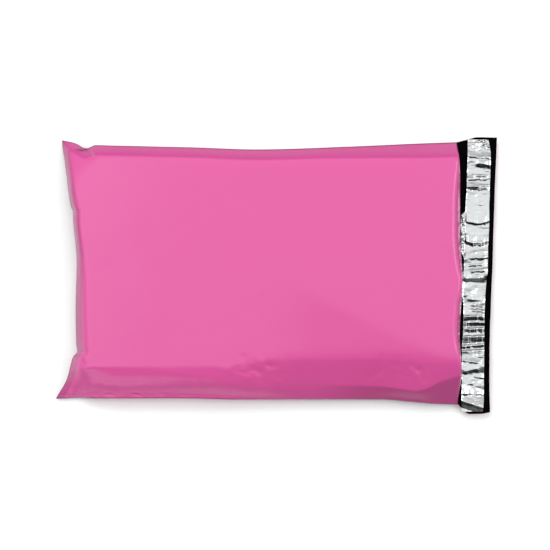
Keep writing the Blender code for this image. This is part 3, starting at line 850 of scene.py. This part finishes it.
def mark_film(piece):
    """Notes on each corner of the film its painted shade on the steep sides, how near it is to a weld, and
    how dark it is at an edge or with painted shadow in a notch.
    """
    places = np.empty(len(piece.data.vertices) * 3)
    piece.data.vertices.foreach_get("co", places)
    x, y = pattern_place(*places.reshape(-1, 3).T[:2])
    from_lower, from_upper = y - through(LOWER_SEAM, x), through(UPPER_SEAM, x) - y
    from_sides = np.minimum(from_lower, from_upper)
    from_closed, from_mouth = x - through(CLOSED_END, y), x - through(MOUTH_EDGE, y)
    on_pouch = ramp(*POUCH_END, from_mouth)
    # Painted shade on the steep walls and the mouth's roll.
    painted_shade = painted_shade_share(x, y, from_lower, from_upper) * on_pouch
    weld = ramp(WELD_WIDTH + WELD_BLUR, WELD_WIDTH - WELD_BLUR, from_sides) * on_pouch
    from_edge = np.minimum(from_sides, np.minimum(from_closed, np.abs(from_mouth) + MOUTH_CUT))
    edge_and_notch_shadow = bump(np.maximum(from_edge, 0.0), CUT_EDGE) * on_pouch
    # Painted shadow in the notches where the corners fold in.
    for notch_x, notch_y, reach_x, reach_y in PAINTED_NOTCH_SHADOWS:
        edge_and_notch_shadow = np.maximum(edge_and_notch_shadow, bump(np.hypot((x - notch_x) / reach_x, (y - notch_y) / reach_y), 1.0))
    for name, values in (("painted_shade", painted_shade), ("weld", weld), ("edge_and_notch_shadow", edge_and_notch_shadow)):
        piece.data.attributes.new(name, "FLOAT", "POINT").data.foreach_set("value", values)


# The mouth's edge is turned out this far, so that it shows its black inner side wherever it isn't facing
# down more steeply than this. The drawn film is dull on the upper wall, and on the steep side of the
# mouth's roll, from this far in: each where its face turns this much to the back or to the mouth.
TURNED_OUT = 0.8
LEAST_UPWARD = -0.4
DULL_WALL = 0.55
DULL_ROLL = 0.80
DULL_REACH = 14.0

# The film's finishes, in the order of its material slots.
OUTSIDE, INSIDE, DRAWN = range(3)


def give_finishes(piece):
    """Makes the lip's inner face black, and the upper wall and the steep side of the mouth's roll dull."""
    for face in piece.data.polygons:
        x, y = pattern_place(face.center.x, face.center.y)
        past_mouth = x - float(through(MOUTH_EDGE, y))
        on_roll = face.normal.x > DULL_ROLL and past_mouth > -DULL_REACH
        if face.normal.z > LEAST_UPWARD and past_mouth > -TURNED_OUT:
            face.material_index = INSIDE
        elif face.normal.y > DULL_WALL or on_roll:
            face.material_index = DRAWN
        else:
            face.material_index = OUTSIDE


def new_material(name):
    material = bpy.data.materials.new(name)
    material.use_nodes = True
    nodes, links = material.node_tree.nodes, material.node_tree.links
    return material, nodes, links, nodes["Principled BSDF"]


def node_group(name, takes, gives):
    """An empty shared group, with its inputs as (name, value) and the names of its outputs."""
    group = bpy.data.node_groups.new(name, "ShaderNodeTree")
    for label, value in takes:
        socket = group.interface.new_socket(name=label, in_out="INPUT", socket_type="NodeSocketFloat")
        socket.default_value = value
    for label in gives:
        kind = "NodeSocketVector" if label == "Normal" else "NodeSocketFloat"
        group.interface.new_socket(name=label, in_out="OUTPUT", socket_type=kind)
    return group, group.nodes.new("NodeGroupInput"), group.nodes.new("NodeGroupOutput")


def build_grain():
    """Fine lumps of a drawn-out sheet: they raise its surface, and put out where they are high."""
    group, takes, gives = node_group(
        "sheet_grain",
        (("Lumps along", 100.0), ("Lumps across", 100.0), ("Depth", 0.0001)),
        ("Height", "Normal"),
    )
    nodes, links = group.nodes, group.links
    place = nodes.new("ShaderNodeTexCoord")
    stretch = nodes.new("ShaderNodeVectorMath")
    stretch.operation = "MULTIPLY"
    count = nodes.new("ShaderNodeCombineXYZ")
    links.new(takes.outputs["Lumps along"], count.inputs["X"])
    links.new(takes.outputs["Lumps across"], count.inputs["Y"])
    links.new(takes.outputs["Lumps across"], count.inputs["Z"])
    links.new(place.outputs["Object"], stretch.inputs[0])
    links.new(count.outputs["Vector"], stretch.inputs[1])
    lumps = nodes.new("ShaderNodeTexNoise")
    lumps.inputs["Scale"].default_value = 1.0
    lumps.inputs["Detail"].default_value = 4.0
    lumps.inputs["Roughness"].default_value = 0.55
    links.new(stretch.outputs["Vector"], lumps.inputs["Vector"])
    raised = nodes.new("ShaderNodeBump")
    raised.inputs["Strength"].default_value = 1.0
    links.new(takes.outputs["Depth"], raised.inputs["Distance"])
    links.new(lumps.outputs["Fac"], raised.inputs["Height"])
    links.new(lumps.outputs["Fac"], gives.inputs["Height"])
    links.new(raised.outputs["Normal"], gives.inputs["Normal"])
    return group


def add_group(nodes, group, values):
    """Places a shared group in a material, with its own values."""
    node = nodes.new("ShaderNodeGroup")
    node.node_tree = group
    for label, value in values.items():
        node.inputs[label].default_value = value
    return node


def blended(nodes, links, share, low, high):
    """A colour from low to high by the share that a socket gives. Each may be a colour or a socket."""
    blend = nodes.new("ShaderNodeMix")
    blend.data_type = "RGBA"
    links.new(share, blend.inputs["Factor"])
    for side, colour in (("A", low), ("B", high)):
        if isinstance(colour, tuple):
            blend.inputs[side].default_value = (*colour, 1.0)
        else:
            links.new(colour, blend.inputs[side])
    return blend.outputs["Result"]


# Most of a grain's heights lie between these.
GRAIN_HEIGHTS = (0.3, 0.7)


def spread(nodes, links, height, low, high):
    """A value that runs from low to high over the middle of a grain's heights."""
    reach = nodes.new("ShaderNodeMapRange")
    reach.inputs["From Min"].default_value = GRAIN_HEIGHTS[0]
    reach.inputs["From Max"].default_value = GRAIN_HEIGHTS[1]
    reach.inputs["To Min"].default_value = low
    reach.inputs["To Max"].default_value = high
    links.new(height, reach.inputs["Value"])
    return reach.outputs["Result"]


def feed(links, surface, colour, roughness, normal):
    """Feeds the sockets that change over a surface to its shader."""
    for label, socket in (("Base Color", colour), ("Roughness", roughness), ("Normal", normal)):
        links.new(socket, surface.inputs[label])


def marked(nodes, name):
    """The values that mark_film noted under a name."""
    mark = nodes.new("ShaderNodeAttribute")
    mark.attribute_name = name
    return mark.outputs["Fac"]


# The ribs of the welds: how close together they are, and how deep, in metres.
RIBS = 150.0
RIB_DEPTH = 0.00006


def weld_normal(nodes, links, smooth_normal):
    """The fine ribs that the heated jaws press into the welds."""
    place = nodes.new("ShaderNodeTexCoord")
    ribs = nodes.new("ShaderNodeTexWave")
    ribs.bands_direction = "DIAGONAL"
    ribs.inputs["Scale"].default_value = RIBS
    links.new(place.outputs["Object"], ribs.inputs["Vector"])
    pressed = nodes.new("ShaderNodeMath")
    pressed.operation = "MULTIPLY"
    links.new(ribs.outputs["Fac"], pressed.inputs[0])
    links.new(marked(nodes, "weld"), pressed.inputs[1])
    raised = nodes.new("ShaderNodeBump")
    raised.inputs["Strength"].default_value = 1.0
    raised.inputs["Distance"].default_value = RIB_DEPTH
    links.new(pressed.outputs["Value"], raised.inputs["Height"])
    links.new(smooth_normal, raised.inputs["Normal"])
    return raised.outputs["Normal"]


# Colours: of the film, where it is thin, its painted shade on the steep sides, and at a cut edge and the
# painted shadow in the notches; and the two that each of the others varies between.
PINK = (0.640, 0.086, 0.305)
PINK_THIN = (0.625, 0.081, 0.293)
PINK_PAINTED_SHADE = (0.33, 0.046, 0.160)
PINK_EDGE_AND_SHADOW = (0.10, 0.018, 0.045)
BLACKS = ((0.0004, 0.0004, 0.0006), (0.0012, 0.0012, 0.0014))
SILVERS = ((0.50, 0.515, 0.52), (0.61, 0.625, 0.63))
MILKS = ((0.68, 0.64, 0.50), (0.80, 0.79, 0.74))

# Roughness of each, from the low places of its grain to the high ones.
FILM_ROUGHNESS = (0.20, 0.25)
INSIDE_ROUGHNESS = (0.34, 0.46)
FOIL_ROUGHNESS = (0.12, 0.21)
GLUE_ROUGHNESS = (0.22, 0.38)

# How strongly the film reflects: its satin outside, where it is drawn, and its inside.
SATIN = 0.5
DULL = 0.07
INSIDE_GLOSS = 0.012
FILM_IOR = 1.47


def film_material(grain, name, gloss):
    """The film's pink outer side, deeper in colour where it is thin, with painted shade on its steep
    sides, darker at its cut edges and with painted shadow in the notches.
    """
    material, nodes, links, surface = new_material(name)
    drawn = add_group(nodes, grain, {"Lumps along": 60.0, "Lumps across": 150.0, "Depth": 0.00010})
    cloudy = add_group(nodes, grain, {"Lumps along": 14.0, "Lumps across": 22.0})
    colour = blended(nodes, links, cloudy.outputs["Height"], PINK_THIN, PINK)
    # Painted shade on the steep walls and the mouth's roll.
    colour = blended(nodes, links, marked(nodes, "painted_shade"), colour, PINK_PAINTED_SHADE)
    # Darker at the cut edges, and painted shadow in the notches.
    colour = blended(nodes, links, marked(nodes, "edge_and_notch_shadow"), colour, PINK_EDGE_AND_SHADOW)
    roughness = spread(nodes, links, drawn.outputs["Height"], *FILM_ROUGHNESS)
    feed(links, surface, colour, roughness, weld_normal(nodes, links, drawn.outputs["Normal"]))
    surface.inputs["IOR"].default_value = FILM_IOR
    surface.inputs["Specular IOR Level"].default_value = gloss
    return material


def film_inside_material(grain):
    """The film's black inner side, dull and faintly streaked."""
    material, nodes, links, surface = new_material("film_inside")
    drawn = add_group(nodes, grain, {"Lumps along": 300.0, "Lumps across": 60.0, "Depth": 0.00012})
    colour = blended(nodes, links, drawn.outputs["Height"], *BLACKS)
    roughness = spread(nodes, links, drawn.outputs["Height"], *INSIDE_ROUGHNESS)
    feed(links, surface, colour, roughness, drawn.outputs["Normal"])
    surface.inputs["Specular IOR Level"].default_value = INSIDE_GLOSS
    return material


def foil_material(grain):
    """The liner's silver foil: bright, finely crinkled across and duller in patches."""
    material, nodes, links, surface = new_material("foil")
    crinkled = add_group(nodes, grain, {"Lumps along": 90.0, "Lumps across": 420.0, "Depth": 0.00012})
    worn = add_group(nodes, grain, {"Lumps along": 160.0, "Lumps across": 260.0})
    colour = blended(nodes, links, worn.outputs["Height"], *SILVERS)
    roughness = spread(nodes, links, worn.outputs["Height"], *FOIL_ROUGHNESS)
    feed(links, surface, colour, roughness, crinkled.outputs["Normal"])
    surface.inputs["Metallic"].default_value = 1.0
    return material


def glue_material(grain):
    """Milky hot-melt glue, thinner and yellower in places."""
    material, nodes, links, surface = new_material("glue")
    beaded = add_group(nodes, grain, {"Lumps along": 180.0, "Lumps across": 90.0, "Depth": 0.0002})
    colour = blended(nodes, links, beaded.outputs["Height"], *MILKS)
    roughness = spread(nodes, links, beaded.outputs["Height"], *GLUE_ROUGHNESS)
    feed(links, surface, colour, roughness, beaded.outputs["Normal"])
    return material


# How many faces the glue and the liner have across and along.
GLUE_FACES = (10, 160)
LINER_FACES = (50, 560)


def build_pieces():
    grain = build_grain()
    film = slab("mailer_film", POUCH_COLUMNS + 1 + LIP_COLUMNS, BAG_ROWS, bag_form)
    film.data.materials.append(film_material(grain, "film", SATIN))
    film.data.materials.append(film_inside_material(grain))
    film.data.materials.append(film_material(grain, "film_drawn", DULL))
    give_finishes(film)
    mark_film(film)
    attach(film, "root")
    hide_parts("bag")

    glue = slab("glue_bead", *GLUE_FACES, glue_form)
    glue.data.materials.append(glue_material(grain))
    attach(glue, "root")
    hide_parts("glue_strip")

    liner = slab("liner_foil", *LINER_FACES, liner_form)
    liner.data.materials.append(foil_material(grain))
    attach(liner, "root")
    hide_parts("release_liner")


# The photograph's frame: its width and middle in the pattern, at the height of the seams.
FRAME_WIDTH = 660.0
FRAME_MIDDLE = (262.2, 165.6)
CAMERA_HEIGHT = 2400.0
SENSOR = 36.0


def build_camera():
    camera = in_scene("camera", bpy.data.cameras.new("camera"))
    camera.location = (
        PATTERN_X + FRAME_MIDDLE[0] * MM, PATTERN_Y + FRAME_MIDDLE[1] * MM, CAMERA_HEIGHT * MM,
    )
    camera.data.sensor_width = SENSOR
    camera.data.lens = SENSOR * (CAMERA_HEIGHT - SEAM_LIFT) / FRAME_WIDTH
    bpy.context.scene.camera = camera


# The pale floor, in metres. It is a touch green, because the bag throws pink light on it.
FLOOR_REACH = 6.0
FLOOR_HEIGHT = -0.0003
FLOOR_COLOUR = (0.94, 0.97, 0.96, 1.0)


def build_floor():
    work = bmesh.new()
    bmesh.ops.create_grid(work, x_segments=1, y_segments=1, size=FLOOR_REACH)
    bmesh.ops.translate(work, verts=list(work.verts), vec=(0.0, 0.0, FLOOR_HEIGHT))
    mesh = bpy.data.meshes.new("floor")
    work.to_mesh(mesh)
    work.free()
    floor = in_scene("floor", mesh)
    material, _, _, surface = new_material("floor")
    surface.inputs["Base Color"].default_value = FLOOR_COLOUR
    surface.inputs["Roughness"].default_value = 0.9
    surface.inputs["Specular IOR Level"].default_value = 0.1
    mesh.materials.append(material)


# Brightness of the sky by the height of a direction, from 0 level to 1 straight up: in front of the
# bag's lower side, where the studio is dark, past the bag's ends and behind its upper side.
SKY_IN_FRONT = (
    (0.0, 0.26), (0.20, 0.24), (0.45, 0.20), (0.60, 0.16), (0.70, 0.008), (0.89, 0.008), (0.94, 0.36),
    (0.985, 1.15), (1.0, 1.36),
)
SKY_AT_ENDS = ((0.0, 0.8), (0.45, 0.8), (0.70, 0.85), (0.82, 1.0), (0.94, 1.4), (0.985, 1.42), (1.0, 1.36))
SKY_BEHIND = ((0.0, 0.3), (0.40, 0.35), (0.60, 0.5), (0.80, 0.8), (0.93, 1.15), (0.985, 1.36), (1.0, 1.36))

# Compass angles from straight in front, in degrees, where the front gives way to the ends and the ends
# to the back.
PAST_FRONT = (35.0, 62.0)
PAST_ENDS = (100.0, 145.0)


def sky_tones(nodes, links, height, stops):
    """Greys that run through (height, brightness) stops."""
    tones = nodes.new("ShaderNodeValToRGB")
    links.new(height, tones.inputs["Fac"])
    stations = tones.color_ramp.elements
    for at, _ in stops[1:-1]:
        stations.new(at)
    for station, (at, tone) in zip(stations, stops):
        station.position = at
        station.color = (tone, tone, tone, 1.0)
    return tones.outputs["Color"]


def build_sky():
    """A pale studio, dark in front of the bag's lower side."""
    world = bpy.data.worlds.new("studio")
    bpy.context.scene.world = world
    world.use_nodes = True
    nodes, links = world.node_tree.nodes, world.node_tree.links
    place = nodes.new("ShaderNodeTexCoord")
    split = nodes.new("ShaderNodeSeparateXYZ")
    links.new(place.outputs["Generated"], split.inputs["Vector"])
    ahead, across, turn = (nodes.new("ShaderNodeMath") for _ in range(3))
    ahead.operation, across.operation, turn.operation = "MULTIPLY", "ABSOLUTE", "ARCTAN2"
    ahead.inputs[1].default_value = -1.0
    links.new(split.outputs["Y"], ahead.inputs[0])
    links.new(split.outputs["X"], across.inputs[0])
    links.new(across.outputs["Value"], turn.inputs[0])
    links.new(ahead.outputs["Value"], turn.inputs[1])
    past_front = sky_blend(nodes, links, turn.outputs["Value"], *PAST_FRONT)
    past_ends = sky_blend(nodes, links, turn.outputs["Value"], *PAST_ENDS)
    for stops, blend, side in (
        (SKY_IN_FRONT, past_front, "A"), (SKY_AT_ENDS, past_front, "B"), (SKY_BEHIND, past_ends, "B"),
    ):
        links.new(sky_tones(nodes, links, split.outputs["Z"], stops), blend.inputs[side])
    links.new(past_front.outputs["Result"], past_ends.inputs["A"])
    links.new(past_ends.outputs["Result"], nodes["Background"].inputs["Color"])


def sky_blend(nodes, links, angle, start, end):
    """A blend of two skies by the compass angle, in degrees."""
    side = nodes.new("ShaderNodeMapRange")
    side.interpolation_type = "SMOOTHSTEP"
    side.inputs["From Min"].default_value = math.radians(start)
    side.inputs["From Max"].default_value = math.radians(end)
    links.new(angle, side.inputs["Value"])
    blend = nodes.new("ShaderNodeMix")
    blend.data_type = "RGBA"
    links.new(side.outputs["Result"], blend.inputs["Factor"])
    return blend


# Three softboxes around the camera and a card that lights the lower side: (name, place, size, power,
# whether the bag mirrors it). The back one would show as a white line along the upper wall.
SOFTBOXES = (
    ("left_box", (-1.10, 0.30, 2.2), (1.3, 1.3), 4.5, True),
    ("right_box", (1.65, 0.25, 2.0), (0.7, 1.4), 12.0, True),
    ("back_box", (-0.30, 1.50, 1.7), (1.8, 1.2), 27.0, False),
    ("front_card", (-0.40, -0.75, 0.32), (0.5, 0.3), 0.7, True),
)


def build_softbox(name, place, size, power, mirrored):
    """A softbox that is turned towards the middle of the bag."""
    light = in_scene(name, bpy.data.lights.new(name, "AREA"))
    light.data.shape = "RECTANGLE"
    light.data.size, light.data.size_y = size
    light.data.energy = power
    light.visible_glossy = mirrored
    light.location = place
    light.rotation_euler = (-Vector(place)).to_track_quat("-Z", "Y").to_euler()


def build_stage():
    build_floor()
    build_sky()
    for softbox in SOFTBOXES:
        build_softbox(*softbox)
    build_camera()
    bpy.context.scene.view_settings.view_transform = "Standard"


build_pieces()
build_stage()
